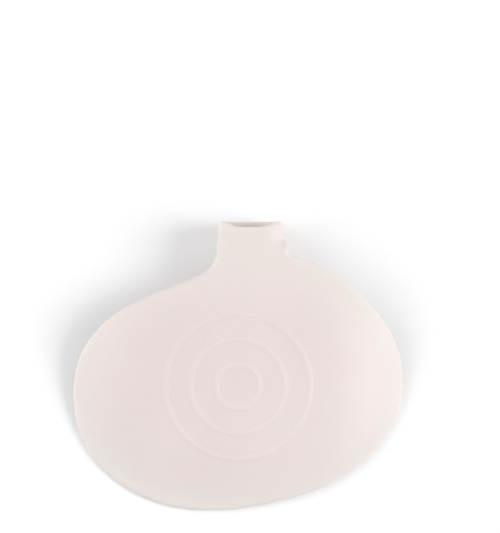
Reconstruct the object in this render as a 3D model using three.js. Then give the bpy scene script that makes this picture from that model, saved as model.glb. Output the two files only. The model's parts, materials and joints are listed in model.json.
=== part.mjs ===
// A metatarsal pad: one soft gel moulding that cushions the ball of a right foot. A loop at its
// front edge goes round the second toe. It is one closed skin around a sheet that has a flat
// pattern: the pattern's front end rolls up into the loop, the middle thickens into a crown, and
// low rings stand out of the sole face.
//
// The pad's own axes: x runs across the foot towards the big toe, y runs towards the toes and z
// out of the sole face. The centre of the rings is the origin of x and y. Sizes are millimetres.
// The exported group turns the pad to the way it lies on a table, sole face up, with its loop
// and its rear edge down.

import * as THREE from "three";
import { ConvexHull } from "three/addons/math/ConvexHull.js";
import { mergeVertices } from "three/addons/utils/BufferGeometryUtils.js";

// Sizes of the pad
const PAD_WIDTH = 92;
const PAD_LENGTH = 69; // rear edge to the root of the neck
const PAD_THICKNESS = 5; // at the centre of the rings
const EDGE_THICKNESS = 1.8;
const EDGE_ROUNDING = 1.2; // how far in from the edge the rounding reaches
const CUP_DEPTH = 5.5; // how far the sides bend towards the foot
const CUP_FLAT_SHARE = 0.5; // the middle of the pad stays flat on the foot side
const CUP_REAR_SHARE = 0.5; // the rear edge bends less than the sides

// Sizes of the raised rings
const RING_COUNT = 3;
const FIRST_RING_RADIUS = 6.1;
const RING_PITCH = 7;
const RING_WIDTH = 2.4;
const RING_HEIGHT = 0.3;

// Sizes of the toe loop and the neck that carries it
const LOOP_INNER_WIDTH = 14;
const LOOP_INNER_HEIGHT = 13;
const LOOP_WALL = 2;
const LOOP_WIDEST_SHARE = 0.38; // its widest level, as a share of its height from the sole side
const LOOP_SHARE = 0.56; // the back of the loop is this share of the neck's length
const LOOP_OFFSET = 3.5; // from the centre of the rings towards the big toe
const NECK_LENGTH = 11.3; // root of the neck to the loop's front rim
const ROLL_LENGTH = 4.5; // the neck rolls up into the loop within this length
const ROLL_WIDTH = 7.5; // and the flare beside it runs out within this width
const RIM_DIP = 1.6; // the front rim is lower in the middle of the sole face
const CROTCH_WIDTH = 2.5; // the round between the neck's edge and the loop's rear rim

// The pad's edge. Each front edge starts at a crotch beside the neck and ends at the pad's
// widest point on that side: out is the share of the way across, back the share of the way
// back. The rear edge runs from the right widest point to the left one: across is a share of
// half the width, along a share of half the length.
const RIGHT_FRONT = [
  { out: 0.01, back: 0.012 },
  { out: 0.025, back: 0.021 },
  { out: 0.049, back: 0.029 },
  { out: 0.106, back: 0.043 },
  { out: 0.273, back: 0.106 },
  { out: 0.519, back: 0.249 },
  { out: 0.767, back: 0.466 },
  { out: 0.943, back: 0.733 },
];
const REAR = [
  { across: 1.0, along: 0.06 },
  { across: 0.97, along: -0.24 },
  { across: 0.82, along: -0.535 },
  { across: 0.575, along: -0.77 },
  { across: 0.25, along: -0.93 },
  { across: -0.1, along: -1.0 },
  { across: -0.44, along: -0.957 },
  { across: -0.72, along: -0.78 },
  { across: -0.92, along: -0.5 },
  { across: -1.0, along: -0.1 },
];
const LEFT_FRONT = [
  { out: 0.043, back: 0.083 },
  { out: 0.163, back: 0.159 },
  { out: 0.449, back: 0.274 },
  { out: 0.736, back: 0.435 },
  { out: 0.943, back: 0.687 },
];
// The neck's crotches: out is a share of the loop's half width from the loop's middle, up a
// share of the neck's length from its root
const RIGHT_CROTCH = { out: 1.31, up: 0.22 };
const LEFT_CROTCH = { out: -1.17, up: 0.16 };

// Shape powers
const CROWN_POWER = 5; // how level the crown stays before it falls to the edge
const RIM_POWER = 4; // how level the dip of the front rim is
const CROTCH_POWER = 0.75; // below 1 the neck's edge leaves its crotch less steeply
const SOLE_SQUARENESS = 4; // superellipse power of the loop's sole half: a flat with round corners
const BACK_SQUARENESS = 2.1; // and of its back half, nearly an ellipse

// Mesh steps
const EDGE_STEPS = 84;
const EDGE_CROWDING = 0.8; // the edge's steps are shorter near the neck
const NECK_STEPS = 24;
const NECK_CROWDING = 0.8; // and the neck's steps near its crotches
const CROTCH_STEPS = 5;
const BACK_STEPS = 7; // from each crotch's round to the middle of the loop's back
const LOOP_ROWS = 5;
const EDGE_ROWS = 7; // from the last ring to the edge
const ROUNDING_ROWS = [1, 0.58, 0.24, 0.05, 0]; // shares of the edge rounding
const RING_PROFILE = [-0.5, -0.24, 0, 0.24, 0.5]; // shares of the ring width
const SECTION_STEPS = 400; // along half of the loop's section
const SLOPE_STEP = 0.01; // for the skin's slope
const WELD_DISTANCE = 1e-3;

const GEL_COLOUR = 0xede3e0;
const GEL_ROUGHNESS = 0.42;

const halfWidth = PAD_WIDTH / 2;
const halfLength = PAD_LENGTH / 2;
const loopHalfWidth = (LOOP_INNER_WIDTH + LOOP_WALL) / 2; // to the middle of the wall
const loopDepth = LOOP_INNER_HEIGHT + LOOP_WALL;
const loopSoleDepth = LOOP_WIDEST_SHARE * loopDepth;
const loopBackDepth = loopDepth - loopSoleDepth;
const frontY = halfLength + NECK_LENGTH;
const rearRimY = frontY - LOOP_SHARE * NECK_LENGTH;

const DOWN = new THREE.Vector3(0, 0, -1);
const { clamp, lerp, smoothstep } = THREE.MathUtils;

// How far the i-th of count steps reaches from 0 to 1, with shorter steps near both ends
function crowded(i, count, crowding) {
  const turn = (2 * Math.PI * i) / count;
  return (turn - crowding * Math.sin(turn)) / (2 * Math.PI);
}

// The loop's section, as a line down the middle of its wall from the middle of the sole side to
// the middle of the back. It is measured by its length, which is also x in the flat pattern.
function loopSection() {
  const line = [];
  const lengths = [0];
  for (let i = 0; i <= SECTION_STEPS; i++) {
    const turn = (Math.PI * i) / SECTION_STEPS;
    const sole = turn < Math.PI / 2;
    const power = 2 / (sole ? SOLE_SQUARENESS : BACK_SQUARENESS);
    const rise = Math.sign(Math.cos(turn)) * Math.abs(Math.cos(turn)) ** power;
    line.push(
      new THREE.Vector2(
        loopHalfWidth * Math.abs(Math.sin(turn)) ** power,
        (sole ? loopSoleDepth : loopBackDepth) * rise - loopSoleDepth,
      ),
    );
    if (i > 0) lengths.push(lengths[i - 1] + line[i].distanceTo(line[i - 1]));
  }
  line[SECTION_STEPS].x = 0;
  return { line, lengths, half: lengths[SECTION_STEPS] };
}
const section = loopSection();

// The point of the loop's section at a signed length from the middle of its sole side
function loopPoint(along) {
  const { line, lengths, half } = section;
  const length = clamp(Math.abs(along), 0, half);
  let i = 1;
  while (i < line.length - 1 && lengths[i] < length) i++;
  const share = (length - lengths[i - 1]) / (lengths[i] - lengths[i - 1]);
  const point = line[i - 1].clone().lerp(line[i], share);
  point.x *= Math.sign(along);
  return point;
}

const crotchPoint = ({ out, up }) => ({
  s: out * loopHalfWidth,
  y: halfLength + up * NECK_LENGTH,
});
const rightCrotch = crotchPoint(RIGHT_CROTCH);
const leftCrotch = crotchPoint(LEFT_CROTCH);

// The line across the root of the neck from crotch to crotch, where the roll starts
function rootLine(s) {
  const share = clamp((s - leftCrotch.s) / (rightCrotch.s - leftCrotch.s), 0, 1);
  return lerp(leftCrotch.y, rightCrotch.y, share);
}

// How flat the sheet is: 1 on the pad, 0 on the loop
function flatness(s, y) {
  const root = rootLine(s);
  if (y < root) return 1;
  const beside = Math.abs(s) - Math.abs((s < 0 ? leftCrotch : rightCrotch).s);
  const unrolled = 1 - smoothstep(y, root, root + ROLL_LENGTH);
  return unrolled * (1 - smoothstep(beside, 0, ROLL_WIDTH));
}

// The front rim of the loop in the flat pattern
function frontRim(s) {
  const share = clamp(Math.abs(s) / loopHalfWidth, 0, 1);
  return frontY - RIM_DIP * (1 - share ** RIM_POWER) ** 2;
}

// The columns of the loop in the flat pattern, once round from its back, with the y that each
// starts at. Those of the neck start on the root line, the others on the loop's rear rim.
function loopColumns() {
  const spread = (from, to, count, startY, crowding = 0) =>
    Array.from({ length: count }, (_, i) => {
      const s = lerp(from, to, crowded(i, count, crowding));
      return { s, y: startY(s) };
    });
  const crotchRound = (crotch) =>
    Array.from({ length: CROTCH_STEPS }, (_, i) => {
      const turn = (Math.PI / 2) * ((i + 1) / CROTCH_STEPS);
      const out = Math.sign(crotch.s) * CROTCH_WIDTH * (1 - Math.cos(turn)) ** CROTCH_POWER;
      return { s: crotch.s + out, y: lerp(crotch.y, rearRimY, Math.sin(turn)) };
    });
  const left = crotchRound(leftCrotch).reverse();
  const right = crotchRound(rightCrotch);
  const rim = () => rearRimY;
  return [
    ...spread(-section.half, left[0].s, BACK_STEPS, rim),
    ...left,
    ...spread(leftCrotch.s, rightCrotch.s, NECK_STEPS, rootLine, NECK_CROWDING),
    rightCrotch,
    ...right,
    ...spread(right.at(-1).s, section.half, BACK_STEPS, rim).slice(1),
  ];
}
const columns = loopColumns();
const neckStart = BACK_STEPS + CROTCH_STEPS;

const patternX = (s) => s + LOOP_OFFSET;

// The pad's edge as points in the flat pattern, from the right crotch to the left one
function padEdge() {
  const rear = REAR.map(({ across, along }) => [across * halfWidth, along * halfLength]);
  const front = (rows, crotch, [widestX, widestY]) => {
    const start = { out: 0, back: 0 };
    return [start, ...rows].map(({ out, back }) => [
      lerp(patternX(crotch.s), widestX, out),
      lerp(crotch.y, widestY, back),
    ]);
  };
  const right = front(RIGHT_FRONT, rightCrotch, rear[0]);
  const left = front(LEFT_FRONT, leftCrotch, rear.at(-1)).reverse();
  const points = [...right, ...rear, ...left].map(([x, y]) => new THREE.Vector3(x, y, 0));
  const curve = new THREE.CatmullRomCurve3(points, false, "centripetal");
  return Array.from({ length: EDGE_STEPS + 1 }, (_, i) =>
    curve.getPointAt(crowded(i, EDGE_STEPS, EDGE_CROWDING)),
  );
}
const edge = padEdge();

// Every edge of the flat pattern, as two lines: round the pad and the loop's rear rim, and along
// the loop's front rim
const neckEnd = neckStart + NECK_STEPS;
const seam = { s: section.half, y: rearRimY };
const rimPoint = ({ s, y }) => new THREE.Vector3(patternX(s), y, 0);
const edgeLines = [
  [
    ...columns.slice(0, neckStart).map(rimPoint),
    ...[...edge].reverse(),
    ...[...columns.slice(neckEnd + 1), seam].map(rimPoint),
  ],
  [...columns, seam].map(({ s }) => rimPoint({ s, y: frontRim(s) })),
];

function distanceToEdge(x, y) {
  let least = Infinity;
  for (const line of edgeLines) {
    for (let i = 1; i < line.length; i++) {
      const a = line[i - 1];
      const b = line[i];
      const [dx, dy] = [b.x - a.x, b.y - a.y];
      const share = clamp(((x - a.x) * dx + (y - a.y) * dy) / (dx * dx + dy * dy), 0, 1);
      least = Math.min(least, Math.hypot(x - a.x - share * dx, y - a.y - share * dy));
    }
  }
  return least;
}

// The share of its height that the skin has near an edge, which makes every edge round
function edgeRound(x, y) {
  const inset = clamp(distanceToEdge(x, y) / EDGE_ROUNDING, 0, 1);
  return Math.sqrt(1 - (1 - inset) ** 2);
}

// How far the crown and the rings stand out of the sole face
function relief(x, y) {
  const out = clamp(Math.hypot(x / halfWidth, y / halfLength), 0, 1);
  let height = (PAD_THICKNESS - EDGE_THICKNESS) * (1 - out ** CROWN_POWER) ** 2;
  for (let ring = 0; ring < RING_COUNT; ring++) {
    const radius = FIRST_RING_RADIUS + ring * RING_PITCH;
    const off = clamp(Math.abs(Math.hypot(x, y) - radius) / (RING_WIDTH / 2), 0, 1);
    height += (RING_HEIGHT * (1 + Math.cos(Math.PI * off))) / 2;
  }
  return height;
}

// The bend of the pad's sides and rear towards the foot
function cup(x, y) {
  const out = Math.hypot(x / halfWidth, (CUP_REAR_SHARE * Math.min(y, 0)) / halfLength);
  const share = Math.max(0, out - CUP_FLAT_SHARE) / (1 - CUP_FLAT_SHARE);
  return -CUP_DEPTH * share ** 2;
}

// The middle of the sheet, from the flat pattern to its place
function middle(x, y) {
  const s = x - LOOP_OFFSET;
  const flat = flatness(s, y);
  const loop = loopPoint(s);
  return new THREE.Vector3(
    LOOP_OFFSET + lerp(loop.x, s, flat),
    y,
    lerp(loop.y, cup(x, y), flat),
  );
}

// A point of the skin: side is 1 on the sole face and the loop's outside, -1 on the foot side
function skinPoint(x, y, side) {
  const alongX = middle(x + SLOPE_STEP, y).sub(middle(x - SLOPE_STEP, y));
  const alongY = middle(x, y + SLOPE_STEP).sub(middle(x, y - SLOPE_STEP));
  const normal = alongX.cross(alongY).normalize();
  const half = lerp(LOOP_WALL, EDGE_THICKNESS, flatness(x - LOOP_OFFSET, y)) / 2;
  const rise = side > 0 ? half + relief(x, y) : -half;
  return middle(x, y).addScaledVector(normal, rise * edgeRound(x, y));
}

// Rows of flat pattern points from the centre of the rings to the pad's edge and the root of
// the neck. Each row goes round clockwise, with one point for each ray.
function padRows(side) {
  const root = columns.slice(neckStart + 1, neckEnd).map(rimPoint);
  const ends = [...edge, ...root].map(({ x, y }) => ({ x, y, length: Math.hypot(x, y) }));
  const row = (reachOf) =>
    ends.map(({ x, y, length }) => {
      const share = reachOf(length) / length;
      return [x * share, y * share];
    });
  const rows = [];
  let radius = FIRST_RING_RADIUS;
  for (let ring = 0; ring < RING_COUNT; ring++) {
    radius = FIRST_RING_RADIUS + ring * RING_PITCH;
    const profile = side > 0 ? RING_PROFILE : [0];
    for (const share of profile) rows.push(row(() => radius + share * RING_WIDTH));
  }
  const start = radius + RING_WIDTH / 2;
  for (let i = 1; i < EDGE_ROWS; i++) {
    rows.push(row((length) => lerp(start, length - EDGE_ROUNDING, i / EDGE_ROWS)));
  }
  for (const share of ROUNDING_ROWS) rows.push(row((length) => length - share * EDGE_ROUNDING));
  return rows;
}

// Rows of flat pattern points round the loop, from its rear rim and the neck's root to its
// front rim
function loopRows() {
  const row = (heightOf) =>
    columns.map(({ s, y }) => [patternX(s), heightOf(y, frontRim(s))]);
  const rows = [];
  for (const share of [...ROUNDING_ROWS].reverse()) {
    rows.push(row((rear) => rear + share * EDGE_ROUNDING));
  }
  for (let i = 1; i < LOOP_ROWS; i++) {
    const share = i / LOOP_ROWS;
    rows.push(row((rear, front) => lerp(rear + EDGE_ROUNDING, front - EDGE_ROUNDING, share)));
  }
  for (const share of ROUNDING_ROWS) {
    rows.push(row((rear, front) => front - share * EDGE_ROUNDING));
  }
  return rows;
}

// The pad's skin as one closed geometry
function padGeometry() {
  const positions = [];
  // Corners run clockwise as the sole face is looked at
  const triangle = (side, ...corners) => {
    const order = side > 0 ? corners.reverse() : corners;
    for (const corner of order) positions.push(...corner.toArray());
  };
  const strips = (side, rows) => {
    for (let r = 1; r < rows.length; r++) {
      rows[r].forEach((outer, i) => {
        const next = (i + 1) % rows[r].length;
        const outerNext = rows[r][next];
        const inner = rows[r - 1][i];
        const innerNext = rows[r - 1][next];
        if (inner.distanceTo(outerNext) < outer.distanceTo(innerNext)) {
          triangle(side, inner, outer, outerNext);
          triangle(side, inner, outerNext, innerNext);
        } else {
          triangle(side, inner, outer, innerNext);
          triangle(side, innerNext, outer, outerNext);
        }
      });
    }
  };
  for (const side of [1, -1]) {
    const place = (row) => row.map(([x, y]) => skinPoint(x, y, side));
    const pad = padRows(side).map(place);
    const centre = skinPoint(0, 0, side);
    pad[0].forEach((corner, i) => triangle(side, centre, corner, pad[0][(i + 1) % pad[0].length]));
    strips(side, pad);
    strips(side, loopRows().map(place));
  }
  const geometry = new THREE.BufferGeometry();
  geometry.setAttribute("position", new THREE.Float32BufferAttribute(positions, 3));
  const skin = mergeVertices(geometry, WELD_DISTANCE);
  skin.computeVertexNormals();
  return skin;
}

function centreOfMass(geometry) {
  const { position } = geometry.attributes;
  const corners = geometry.index.array;
  const centre = new THREE.Vector3();
  let total = 0;
  for (let i = 0; i < corners.length; i += 3) {
    const [a, b, c] = [0, 1, 2].map((k) =>
      new THREE.Vector3().fromBufferAttribute(position, corners[i + k]),
    );
    const volume = a.dot(b.clone().cross(c));
    centre.addScaledVector(a.add(b).add(c), volume / 4);
    total += volume;
  }
  return centre.divideScalar(total);
}

// The face of its hull that the pad comes to rest on, when it is let down with its sole face up
// and rolls from face to face until its weight is over the one below it
function restingFace(geometry) {
  const centre = centreOfMass(geometry);
  const { faces } = new ConvexHull().setFromObject(new THREE.Mesh(geometry));
  const below = (down) => {
    const depth = ({ normal, constant }) => {
      const slope = normal.dot(down);
      return slope > 0 ? (constant - normal.dot(centre)) / slope : Infinity;
    };
    return faces.reduce((nearest, face) => (depth(face) < depth(nearest) ? face : nearest));
  };
  let face = below(DOWN);
  while (below(face.normal) !== face) face = below(face.normal);
  return face;
}

// The origin is under the middle of the resting pad, on the table
function restingGeometry() {
  const geometry = padGeometry();
  const { normal } = restingFace(geometry);
  geometry.applyQuaternion(new THREE.Quaternion().setFromUnitVectors(normal, DOWN));
  geometry.computeBoundingBox();
  const { min, max } = geometry.boundingBox;
  return geometry.translate(-(min.x + max.x) / 2, -(min.y + max.y) / 2, -min.z);
}

const gel = new THREE.MeshStandardMaterial({
  color: GEL_COLOUR,
  roughness: GEL_ROUGHNESS,
  metalness: 0,
});
const pad = new THREE.Mesh(restingGeometry(), gel);
pad.name = "metatarsal_pad";

const root = new THREE.Group();
root.add(pad);
export default root;
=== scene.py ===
"""A soft gel metatarsal pad, lying sole face up on a pale floor. Metres, in the part's own frame."""
import json
import math
import bmesh
import bpy
import numpy as np
from mathutils import Matrix, Vector


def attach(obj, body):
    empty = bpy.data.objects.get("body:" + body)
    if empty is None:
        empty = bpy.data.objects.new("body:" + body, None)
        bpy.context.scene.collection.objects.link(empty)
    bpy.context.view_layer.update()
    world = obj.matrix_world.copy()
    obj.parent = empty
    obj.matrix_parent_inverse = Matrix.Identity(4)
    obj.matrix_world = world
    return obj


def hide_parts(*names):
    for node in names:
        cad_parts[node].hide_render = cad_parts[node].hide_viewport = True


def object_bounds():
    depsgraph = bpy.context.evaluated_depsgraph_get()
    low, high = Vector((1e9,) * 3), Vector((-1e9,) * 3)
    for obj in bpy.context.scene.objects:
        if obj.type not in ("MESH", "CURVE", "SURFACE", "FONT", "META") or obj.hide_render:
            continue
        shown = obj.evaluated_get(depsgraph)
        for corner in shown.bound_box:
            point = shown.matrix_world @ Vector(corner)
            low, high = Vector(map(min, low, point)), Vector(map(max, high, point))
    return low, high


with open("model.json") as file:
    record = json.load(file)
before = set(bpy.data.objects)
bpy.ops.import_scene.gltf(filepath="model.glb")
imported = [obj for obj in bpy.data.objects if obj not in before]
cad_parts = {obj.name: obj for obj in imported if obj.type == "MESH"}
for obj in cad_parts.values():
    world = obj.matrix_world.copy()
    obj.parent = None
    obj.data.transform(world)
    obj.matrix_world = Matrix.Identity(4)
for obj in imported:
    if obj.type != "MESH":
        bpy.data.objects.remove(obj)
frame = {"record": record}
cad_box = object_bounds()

MM = 0.001

# Sizes of the pad in millimetres, in its own axes: x towards the big toe, y towards the toes and
# z out of the sole face. The centre of the rings is the origin of x and y.
PAD_WIDTH = 92.0
PAD_LENGTH = 69.0  # rear edge to the root of the neck
PAD_THICKNESS = 5.0  # at the centre of the rings
EDGE_THICKNESS = 1.8
EDGE_ROUNDING = 1.2  # how far in from the edge the rounding reaches
CUP_DEPTH = 5.5  # how far the sides bend towards the foot
CUP_FLAT_SHARE = 0.5  # the middle of the pad stays flat on the foot side
CUP_REAR_SHARE = 0.5  # the rear edge bends less than the sides

# Sizes of the raised rings
RING_RADII = (6.1, 13.1, 20.1)
RING_WIDTH = 2.4
RING_HEIGHT = 0.3

# Sizes of the toe loop and the neck that carries it
LOOP_INNER_WIDTH = 14.0
LOOP_INNER_HEIGHT = 13.0
LOOP_WALL = 2.0
LOOP_WIDEST_SHARE = 0.38  # its widest level, as a share of its height from the sole side
LOOP_SHARE = 0.56  # the back of the loop is this share of the neck's length
LOOP_OFFSET = 3.5  # from the centre of the rings towards the big toe
NECK_LENGTH = 11.3  # root of the neck to the loop's front rim
ROLL_LENGTH = 4.5  # the neck rolls up into the loop within this length
ROLL_WIDTH = 7.5  # and the flare beside it runs out within this width
RIM_DIP = 1.6  # the front rim is lower in the middle of the sole face
CROTCH_WIDTH = 2.5  # the round between the neck's edge and the loop's rear rim

# Shape powers
CROWN_POWER = 5.0  # how level the crown stays before it falls to the edge
RIM_POWER = 4.0  # how level the dip of the front rim is
CROTCH_POWER = 0.75  # below 1 the neck's edge leaves its crotch less steeply
SOLE_SQUARENESS = 4.0  # superellipse power of the loop's sole half: a flat with round corners
BACK_SQUARENESS = 2.1  # and of its back half, nearly an ellipse

# The pad's front edges run from a crotch beside the neck to the widest point on that side. The
# columns are out, the share of the way across, and back, the share of the way back.
RIGHT_FRONT = [
    (0.01, 0.012),
    (0.025, 0.021),
    (0.049, 0.029),
    (0.106, 0.043),
    (0.273, 0.106),
    (0.519, 0.249),
    (0.767, 0.466),
    (0.943, 0.733),
]
LEFT_FRONT = [
    (0.043, 0.083),
    (0.163, 0.159),
    (0.449, 0.274),
    (0.736, 0.435),
    (0.943, 0.687),
]
# The rear edge runs from the right widest point to the left one. The columns are across, a share
# of half the width, and along, a share of half the length.
REAR = [
    (1.0, 0.06),
    (0.97, -0.24),
    (0.82, -0.535),
    (0.575, -0.77),
    (0.25, -0.93),
    (-0.1, -1.0),
    (-0.44, -0.957),
    (-0.72, -0.78),
    (-0.92, -0.5),
    (-1.0, -0.1),
]
# The neck's crotches: out from the loop's middle as a share of its half width, and up from the
# neck's root as a share of its length
RIGHT_CROTCH = (1.31, 0.22)
LEFT_CROTCH = (-1.17, 0.16)

# How the pad lies on the floor: its foot side faces the way that the part's mount faces
FOOT_SIDE = Vector((0, 0, -1))
REST_TURN = FOOT_SIDE.rotation_difference(Vector(frame["record"]["mounts"][0]["axis"]))

# Mesh steps
EDGE_STEPS = 260
EDGE_CROWDING = 0.8  # the edge's steps are shorter near the neck
SPAN_STEPS = 60  # of the edge's curve, between two rows of its tables
NECK_STEPS = 56
NECK_CROWDING = 0.8  # and the neck's steps near its crotches
CROTCH_STEPS = 16
BACK_STEPS = 26  # from each crotch's round to the middle of the loop's back
SECTION_STEPS = 6000  # along half of the loop's section
LOOP_ROWS = 22
EDGE_ROWS = 26  # from the last ring to the edge's rounding
ROUNDING_ROWS = 9
RING_STEPS = 8  # across each ring
ROW_PITCH = 1.2  # between the rows inside the rings, in millimetres
SLOPE_STEP = 0.01  # for the skin's slope, in millimetres
LEAST_GAP = 1e-4  # between two points of a curve
WELD_DISTANCE = 2e-6  # in metres

# The gel's look, with lengths in metres and noise scales per metre
GEL = {
    "Subsurface Weight": 0.35,
    "Subsurface Radius": (1.0, 0.72, 0.66),
    "Subsurface Scale": 0.003,
    "IOR": 1.41,
}
GEL_SHADES = [(0.35, (0.749, 0.664, 0.659, 1)), (0.65, (0.769, 0.687, 0.681, 1))]
# painted light: the thin edge band is painted paler, standing in for light that shines through thin
# gel
THIN_GEL_PAINTED_LIGHT = (0.760, 0.708, 0.680, 1)
GEL_ROUGHNESS = {"To Min": 0.42, "To Max": 0.54}
CLOUDS = {"Scale": 38.0, "Detail": 3.0, "Roughness": 0.5}
SATIN = {"Scale": 420.0, "Detail": 2.0, "Roughness": 0.5}
GRAIN = {"Scale": 1900.0, "Detail": 3.0, "Roughness": 0.6}
WAVES = {"Scale": 150.0, "Detail": 2.0, "Roughness": 0.5}
GRAIN_SHARE = 0.25  # of the grain in the bumps, beside the waves
BUMPS = {"Strength": 0.25, "Distance": 0.00012}

# The floor, in metres
FLOOR_SIZE = 4.0
FLOOR = {"Base Color": (0.94, 0.94, 0.94, 1), "Roughness": 0.9, "Specular IOR Level": 0.1}

# The camera's view of the sole face
FRAME_PIXELS = (500, 533)
RING_CENTRE_PIXEL = (238, 386)
MM_PER_PIXEL = 0.2775
VIEW_HEIGHT_MM = 2.0  # the level that this scale holds at, above the pad's own origin
CAMERA_DISTANCE = 0.9
SENSOR_MM = 36.0
CLIP_START = 0.01
CLIP_END = 20

WORLD_STRENGTH = 0.59

half_width = PAD_WIDTH / 2
half_length = PAD_LENGTH / 2
loop_half_width = (LOOP_INNER_WIDTH + LOOP_WALL) / 2
loop_depth = LOOP_INNER_HEIGHT + LOOP_WALL
loop_sole_depth = LOOP_WIDEST_SHARE * loop_depth
front_y = half_length + NECK_LENGTH
rear_rim_y = front_y - LOOP_SHARE * NECK_LENGTH


def smoothstep(x, low, high):
    share = np.clip((x - low) / (high - low), 0, 1)
    return share * share * (3 - 2 * share)


def mix(a, b, share):
    return a + (b - a) * share


def crowded(count, crowding):
    """The ends of the steps from 0 to 1, with shorter steps near both."""
    turn = 2 * math.pi * np.arange(count + 1) / count
    return (turn - crowding * np.sin(turn)) / (2 * math.pi)


def loop_section():
    """Half of the loop's section down the middle of its wall, and the length to each point."""
    turn = np.linspace(0, math.pi, SECTION_STEPS + 1)
    sole = turn < math.pi / 2
    power = 2 / np.where(sole, SOLE_SQUARENESS, BACK_SQUARENESS)
    out = loop_half_width * np.abs(np.sin(turn)) ** power
    rise = np.sign(np.cos(turn)) * np.abs(np.cos(turn)) ** power
    depth = np.where(sole, loop_sole_depth, loop_depth - loop_sole_depth)
    up = depth * rise - loop_sole_depth
    out[-1] = 0
    lengths = np.concatenate([[0], np.cumsum(np.hypot(np.diff(out), np.diff(up)))])
    return out, up, lengths


section_out, section_up, section_lengths = loop_section()
section_half = section_lengths[-1]


# In the flat pattern of the sheet, s is x from the loop's middle
def crotch_point(crotch):
    return crotch[0] * loop_half_width, half_length + crotch[1] * NECK_LENGTH


right_crotch = crotch_point(RIGHT_CROTCH)
left_crotch = crotch_point(LEFT_CROTCH)


def root_line(s):
    """The line across the neck's root from crotch to crotch, where the roll starts."""
    share = np.clip((s - left_crotch[0]) / (right_crotch[0] - left_crotch[0]), 0, 1)
    return mix(left_crotch[1], right_crotch[1], share)


def flatness(s, y):
    """1 on the pad, 0 on the loop."""
    root = root_line(s)
    beside = np.abs(s) - np.where(s < 0, abs(left_crotch[0]), right_crotch[0])
    unrolled = 1 - smoothstep(y, root, root + ROLL_LENGTH)
    return np.where(y < root, 1.0, unrolled * (1 - smoothstep(beside, 0, ROLL_WIDTH)))


def front_rim(s):
    share = np.clip(np.abs(s) / loop_half_width, 0, 1)
    return front_y - RIM_DIP * (1 - share**RIM_POWER) ** 2


def crotch_round(crotch):
    """The round from a crotch to the loop's rear rim."""
    turn = (math.pi / 2) * np.arange(1, CROTCH_STEPS + 1) / CROTCH_STEPS
    out = CROTCH_WIDTH * (1 - np.cos(turn)) ** CROTCH_POWER
    s = crotch[0] + math.copysign(1, crotch[0]) * out
    return np.stack([s, mix(crotch[1], rear_rim_y, np.sin(turn))], 1)


def loop_columns():
    """The columns of the loop once round from its back: s and the y that each starts at."""
    left = crotch_round(left_crotch)[::-1]
    right = crotch_round(right_crotch)
    back_left = np.linspace(-section_half, left[0, 0], BACK_STEPS, endpoint=False)
    back_right = np.linspace(right[-1, 0], section_half, BACK_STEPS, endpoint=False)[1:]
    neck = mix(left_crotch[0], right_crotch[0], crowded(NECK_STEPS, NECK_CROWDING))
    on_rim = [np.stack([s, np.full_like(s, rear_rim_y)], 1) for s in (back_left, back_right)]
    return np.concatenate(
        [on_rim[0], left, np.stack([neck, root_line(neck)], 1), right, on_rim[1]]
    )


columns = loop_columns()
neck_start = BACK_STEPS + CROTCH_STEPS
neck_end = neck_start + NECK_STEPS


def smooth_curve(points):
    """A centripetal Catmull-Rom curve through the points."""
    points = np.asarray(points, float)
    before = 2 * points[0] - points[1]
    after = 2 * points[-1] - points[-2]
    p = np.concatenate([[before], points, [after]])
    t = np.linspace(0, 1, SPAN_STEPS, endpoint=False)[:, None]
    curve = []
    for i in range(1, len(p) - 2):
        lengths = [np.linalg.norm(p[i + k] - p[i + k - 1]) for k in range(3)]
        a, b, c = [max(length**0.5, LEAST_GAP) for length in lengths]
        start = (p[i] - p[i - 1]) / a - (p[i + 1] - p[i - 1]) / (a + b) + (p[i + 1] - p[i]) / b
        end = (p[i + 1] - p[i]) / b - (p[i + 2] - p[i]) / (b + c) + (p[i + 2] - p[i + 1]) / c
        curve.append(
            (2 * t**3 - 3 * t**2 + 1) * p[i]
            + (t**3 - 2 * t**2 + t) * start * b
            + (3 * t**2 - 2 * t**3) * p[i + 1]
            + (t**3 - t**2) * end * b
        )
    return np.concatenate(curve + [points[-1:]])


def pad_edge():
    """The pad's edge in the flat pattern, from the right crotch round the rear to the left."""
    rear = [(across * half_width, along * half_length) for across, along in REAR]

    def front(rows, crotch, widest):
        start = (crotch[0] + LOOP_OFFSET, crotch[1])
        return [
            (mix(start[0], widest[0], out), mix(start[1], widest[1], back))
            for out, back in [(0, 0)] + rows
        ]

    right = front(RIGHT_FRONT, right_crotch, rear[0])
    left = front(LEFT_FRONT, left_crotch, rear[-1])[::-1]
    curve = smooth_curve(right + rear + left)
    lengths = np.concatenate([[0], np.cumsum(np.linalg.norm(np.diff(curve, axis=0), axis=1))])
    at = crowded(EDGE_STEPS, EDGE_CROWDING) * lengths[-1]
    return np.stack([np.interp(at, lengths, curve[:, k]) for k in (0, 1)], 1)


edge = pad_edge()


def on_pattern(rows):
    return rows + np.array([LOOP_OFFSET, 0])


# Every edge of the flat pattern, as two lines: round the pad and the loop's rear rim, and along
# the loop's front rim
seam = np.array([[section_half, rear_rim_y]])
all_columns = np.concatenate([columns, seam])
edge_lines = [
    np.concatenate(
        [
            on_pattern(columns[:neck_start]),
            edge[::-1],
            on_pattern(np.concatenate([columns[neck_end + 1 :], seam])),
        ]
    ),
    on_pattern(np.stack([all_columns[:, 0], front_rim(all_columns[:, 0])], 1)),
]


def distance_to_edge(x, y):
    least = np.full(x.shape, np.inf)
    for line in edge_lines:
        for (ax, ay), (bx, by) in zip(line[:-1], line[1:]):
            dx, dy = bx - ax, by - ay
            share = np.clip(((x - ax) * dx + (y - ay) * dy) / (dx * dx + dy * dy), 0, 1)
            least = np.minimum(least, np.hypot(x - ax - share * dx, y - ay - share * dy))
    return least


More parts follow.
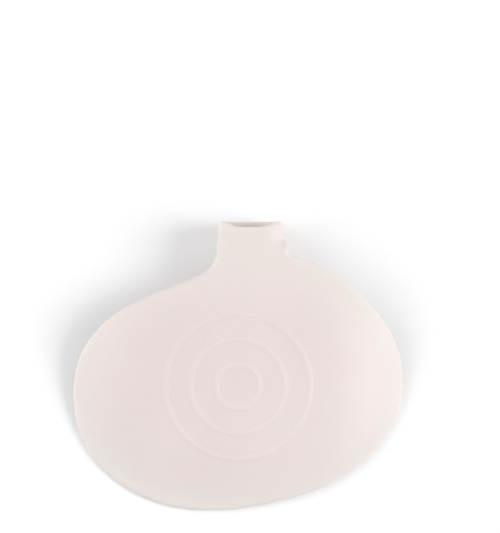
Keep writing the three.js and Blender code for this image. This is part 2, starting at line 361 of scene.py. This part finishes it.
def crown(x, y):
    """The crown's height, as a share of its height in the middle."""
    out = np.clip(np.hypot(x / half_width, y / half_length), 0, 1)
    return (1 - out**CROWN_POWER) ** 2


def gel_thinness(x, y):
    """1 at the edge, and soon 0 further in."""
    return (1 - crown(x, y)) ** 2


def relief(x, y):
    """How far the crown and the rings stand out of the sole face."""
    height = (PAD_THICKNESS - EDGE_THICKNESS) * crown(x, y)
    for radius in RING_RADII:
        off = np.clip(np.abs(np.hypot(x, y) - radius) / (RING_WIDTH / 2), 0, 1)
        height = height + RING_HEIGHT * (1 + np.cos(math.pi * off)) / 2
    return height


def cup(x, y):
    """The bend of the pad's sides and rear towards the foot."""
    out = np.hypot(x / half_width, CUP_REAR_SHARE * np.minimum(y, 0) / half_length)
    return -CUP_DEPTH * (np.maximum(0, out - CUP_FLAT_SHARE) / (1 - CUP_FLAT_SHARE)) ** 2


def middle(x, y):
    """The middle of the sheet, from the flat pattern to its place."""
    s = x - LOOP_OFFSET
    flat = flatness(s, y)
    length = np.clip(np.abs(s), 0, section_half)
    loop_x = np.sign(s) * np.interp(length, section_lengths, section_out)
    loop_z = np.interp(length, section_lengths, section_up)
    place = [LOOP_OFFSET + mix(loop_x, s, flat), y, mix(loop_z, cup(x, y), flat)]
    return np.stack(place, -1)


def skin(pattern, side):
    """Points of the skin: side is 1 on the sole face and the loop's outside, -1 inside."""
    x, y = pattern[..., 0], pattern[..., 1]
    along_x = middle(x + SLOPE_STEP, y) - middle(x - SLOPE_STEP, y)
    along_y = middle(x, y + SLOPE_STEP) - middle(x, y - SLOPE_STEP)
    normal = np.cross(along_x, along_y)
    normal /= np.linalg.norm(normal, axis=-1, keepdims=True)
    half = mix(LOOP_WALL, EDGE_THICKNESS, flatness(x - LOOP_OFFSET, y)) / 2
    rise = half + relief(x, y) if side > 0 else -half
    share = np.clip(distance_to_edge(x, y) / EDGE_ROUNDING, 0, 1)
    return middle(x, y) + normal * (rise * np.sqrt(1 - (1 - share) ** 2))[..., None]


# How far in from the edge each row of its rounding is, as shares of the rounding
rounding = 1 - np.cos(np.linspace(math.pi / 2, 0, ROUNDING_ROWS))


def pad_rows():
    """Rows of flat pattern points round the centre of the rings, out to the pad's edge."""
    root = on_pattern(columns[neck_start + 1 : neck_end])
    ends = np.concatenate([edge, root])
    length = np.linalg.norm(ends, axis=1)
    reaches = []
    inside = 0.0
    for radius in RING_RADII:
        low, high = radius - RING_WIDTH / 2, radius + RING_WIDTH / 2
        between = max(1, round((low - inside) / ROW_PITCH))
        reaches += [mix(inside, low, i / between) for i in range(1, between)]
        reaches += list(np.linspace(low, high, RING_STEPS + 1))
        inside = high
    rows = [np.full_like(length, reach) for reach in reaches]
    for i in range(1, EDGE_ROWS):
        rows.append(mix(inside, length - EDGE_ROUNDING, i / EDGE_ROWS))
    rows += [length - share * EDGE_ROUNDING for share in rounding]
    return np.stack([ends * (row / length)[:, None] for row in rows])


def loop_rows():
    """Rows of flat pattern points round the loop, from its rear rim to its front rim."""
    s, rear = columns[:, 0], columns[:, 1]
    front = front_rim(s)
    rows = [rear + share * EDGE_ROUNDING for share in rounding[::-1]]
    for i in range(1, LOOP_ROWS):
        rows.append(mix(rear + EDGE_ROUNDING, front - EDGE_ROUNDING, i / LOOP_ROWS))
    rows += [front - share * EDGE_ROUNDING for share in rounding]
    return np.stack([np.stack([s + LOOP_OFFSET, row], 1) for row in rows])


def resting_place(points):
    """The move that lays the turned pad on the floor, in the middle of the part's box."""
    low, high = points.min(0), points.max(0)
    place = np.array(cad_box).mean(0) / MM - (low + high) / 2
    place[2] = cad_box[0][2] / MM - low[2]
    return place


def build_pad():
    """The pad as one closed mesh where it lies, and the place of its own origin in millimetres."""
    points, thinness, faces = [], [], []

    def add_points(pattern, side):
        start = sum(len(p) for p in points)
        points.append(skin(pattern, side).reshape(-1, 3))
        thinness.append(gel_thinness(pattern[..., 0], pattern[..., 1]).ravel())
        return start

    def add_face(corners, side):
        faces.append(corners if side > 0 else corners[::-1])

    def add_rows(pattern, side):
        start = add_points(pattern, side)
        row_count, count = pattern.shape[:2]
        for r in range(row_count - 1):
            for i in range(count):
                inner = start + r * count + i
                inner_next = start + r * count + (i + 1) % count
                add_face((inner, inner_next, inner_next + count, inner + count), side)
        return start, count

    for side in (1, -1):
        start, count = add_rows(pad_rows(), side)
        centre = add_points(np.zeros((1, 2)), side)
        for i in range(count):
            add_face((centre, start + (i + 1) % count, start + i), side)
        add_rows(loop_rows(), side)
    lying = np.concatenate(points) @ np.array(REST_TURN.to_matrix()).T
    place = resting_place(lying)
    vertices = (lying + place) * MM

    mesh = bpy.data.meshes.new("gel_pad")
    mesh.from_pydata(vertices.tolist(), [], faces)
    thin = mesh.attributes.new("thinness", "FLOAT", "POINT")
    thin.data.foreach_set("value", np.concatenate(thinness))
    work = bmesh.new()
    work.from_mesh(mesh)
    bmesh.ops.remove_doubles(work, verts=work.verts, dist=WELD_DISTANCE)
    bmesh.ops.recalc_face_normals(work, faces=work.faces)
    work.to_mesh(mesh)
    work.free()
    mesh.shade_smooth()
    pad = bpy.data.objects.new("gel_pad", mesh)
    bpy.context.scene.collection.objects.link(pad)
    return pad, Vector(place)


def set_inputs(node, values):
    for name, value in values.items():
        node.inputs[name].default_value = value


def gel_material():
    """Milky gel with faint clouds of tone and a satin face, painted paler where it is thin: painted
    light for the light that shines through thin gel.
    """
    material = bpy.data.materials.new("gel")
    material.use_nodes = True
    nodes, links = material.node_tree.nodes, material.node_tree.links
    shader = nodes["Principled BSDF"]
    set_inputs(shader, GEL)

    coordinates = nodes.new("ShaderNodeTexCoord")

    def noise(values):
        node = nodes.new("ShaderNodeTexNoise")
        set_inputs(node, values)
        links.new(coordinates.outputs["Object"], node.inputs["Vector"])
        return node

    clouds = noise(CLOUDS)
    ramp = nodes.new("ShaderNodeValToRGB")
    for element, (position, shade) in zip(ramp.color_ramp.elements, GEL_SHADES):
        element.position = position
        element.color = shade
    links.new(clouds.outputs["Fac"], ramp.inputs["Fac"])

    thinness = nodes.new("ShaderNodeAttribute")
    thinness.attribute_name = "thinness"
    # painted light: a paler colour on the thin edge band, standing in for light that shines through
    # thin gel
    painted_edge_light = nodes.new("ShaderNodeMix")
    painted_edge_light.data_type = "RGBA"
    painted_edge_light.inputs["B"].default_value = THIN_GEL_PAINTED_LIGHT
    links.new(thinness.outputs["Fac"], painted_edge_light.inputs["Factor"])
    links.new(ramp.outputs["Color"], painted_edge_light.inputs["A"])
    links.new(painted_edge_light.outputs["Result"], shader.inputs["Base Color"])

    satin = noise(SATIN)
    gloss = nodes.new("ShaderNodeMapRange")
    set_inputs(gloss, GEL_ROUGHNESS)
    links.new(satin.outputs["Fac"], gloss.inputs["Value"])
    links.new(gloss.outputs["Result"], shader.inputs["Roughness"])

    grain = noise(GRAIN)
    waves = noise(WAVES)
    blend = nodes.new("ShaderNodeMath")
    blend.operation = "MULTIPLY_ADD"
    blend.inputs[1].default_value = GRAIN_SHARE
    links.new(grain.outputs["Fac"], blend.inputs[0])
    links.new(waves.outputs["Fac"], blend.inputs[2])
    bump = nodes.new("ShaderNodeBump")
    set_inputs(bump, BUMPS)
    links.new(blend.outputs["Value"], bump.inputs["Height"])
    links.new(bump.outputs["Normal"], shader.inputs["Normal"])
    return material


pad, pad_place = build_pad()
pad.data.materials.append(gel_material())
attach(pad, "root")
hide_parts("metatarsal_pad")


def build_floor():
    reach = FLOOR_SIZE / 2
    corners = [(-reach, -reach, 0), (reach, -reach, 0), (reach, reach, 0), (-reach, reach, 0)]
    mesh = bpy.data.meshes.new("floor")
    mesh.from_pydata(corners, [], [(0, 1, 2, 3)])
    material = bpy.data.materials.new("floor")
    material.use_nodes = True
    set_inputs(material.node_tree.nodes["Principled BSDF"], FLOOR)
    mesh.materials.append(material)
    floor = bpy.data.objects.new("floor", mesh)
    bpy.context.scene.collection.objects.link(floor)
    return floor


floor = build_floor()


def place_camera():
    """The camera looks straight at the sole face, as the photograph does."""
    turn = REST_TURN.to_matrix()
    sole_side = turn @ Vector((0, 0, 1))
    toes = turn @ Vector((0, 1, 0))
    across = toes.cross(sole_side)
    view_x = (FRAME_PIXELS[0] / 2 - RING_CENTRE_PIXEL[0]) * MM_PER_PIXEL
    view_y = (RING_CENTRE_PIXEL[1] - FRAME_PIXELS[1] / 2) * MM_PER_PIXEL
    aim = (turn @ Vector((view_x, view_y, VIEW_HEIGHT_MM)) + pad_place) * MM
    view_height = FRAME_PIXELS[1] * MM_PER_PIXEL * MM
    data = bpy.data.cameras.new("camera")
    data.sensor_width = SENSOR_MM
    data.lens = SENSOR_MM * CAMERA_DISTANCE / view_height
    data.clip_start = CLIP_START
    data.clip_end = CLIP_END
    camera = bpy.data.objects.new("camera", data)
    bpy.context.scene.collection.objects.link(camera)
    axes = Matrix((across, toes, sole_side)).transposed().to_4x4()
    camera.matrix_world = Matrix.Translation(aim + sole_side * CAMERA_DISTANCE) @ axes
    bpy.context.scene.camera = camera


place_camera()


def area_light(name, place, size, power):
    """A soft light that shines on the pad. Metres and watts."""
    data = bpy.data.lights.new(name, "AREA")
    data.shape = "SQUARE"
    data.size = size
    data.energy = power
    light = bpy.data.objects.new(name, data)
    light.location = place
    light.rotation_euler = (-Vector(place)).to_track_quat("-Z", "Y").to_euler()
    bpy.context.scene.collection.objects.link(light)


area_light("key", place=(0.8, -0.1, 0.62), size=0.5, power=5.55)
area_light("fill", place=(-0.88, 0.1, 0.46), size=1.0, power=5.8)

world = bpy.data.worlds.new("world")
world.use_nodes = True
set_inputs(world.node_tree.nodes["Background"], {"Color": (1, 1, 1, 1), "Strength": WORLD_STRENGTH})
bpy.context.scene.world = world
bpy.context.scene.view_settings.view_transform = "Standard"

bpy.context.view_layer.update()
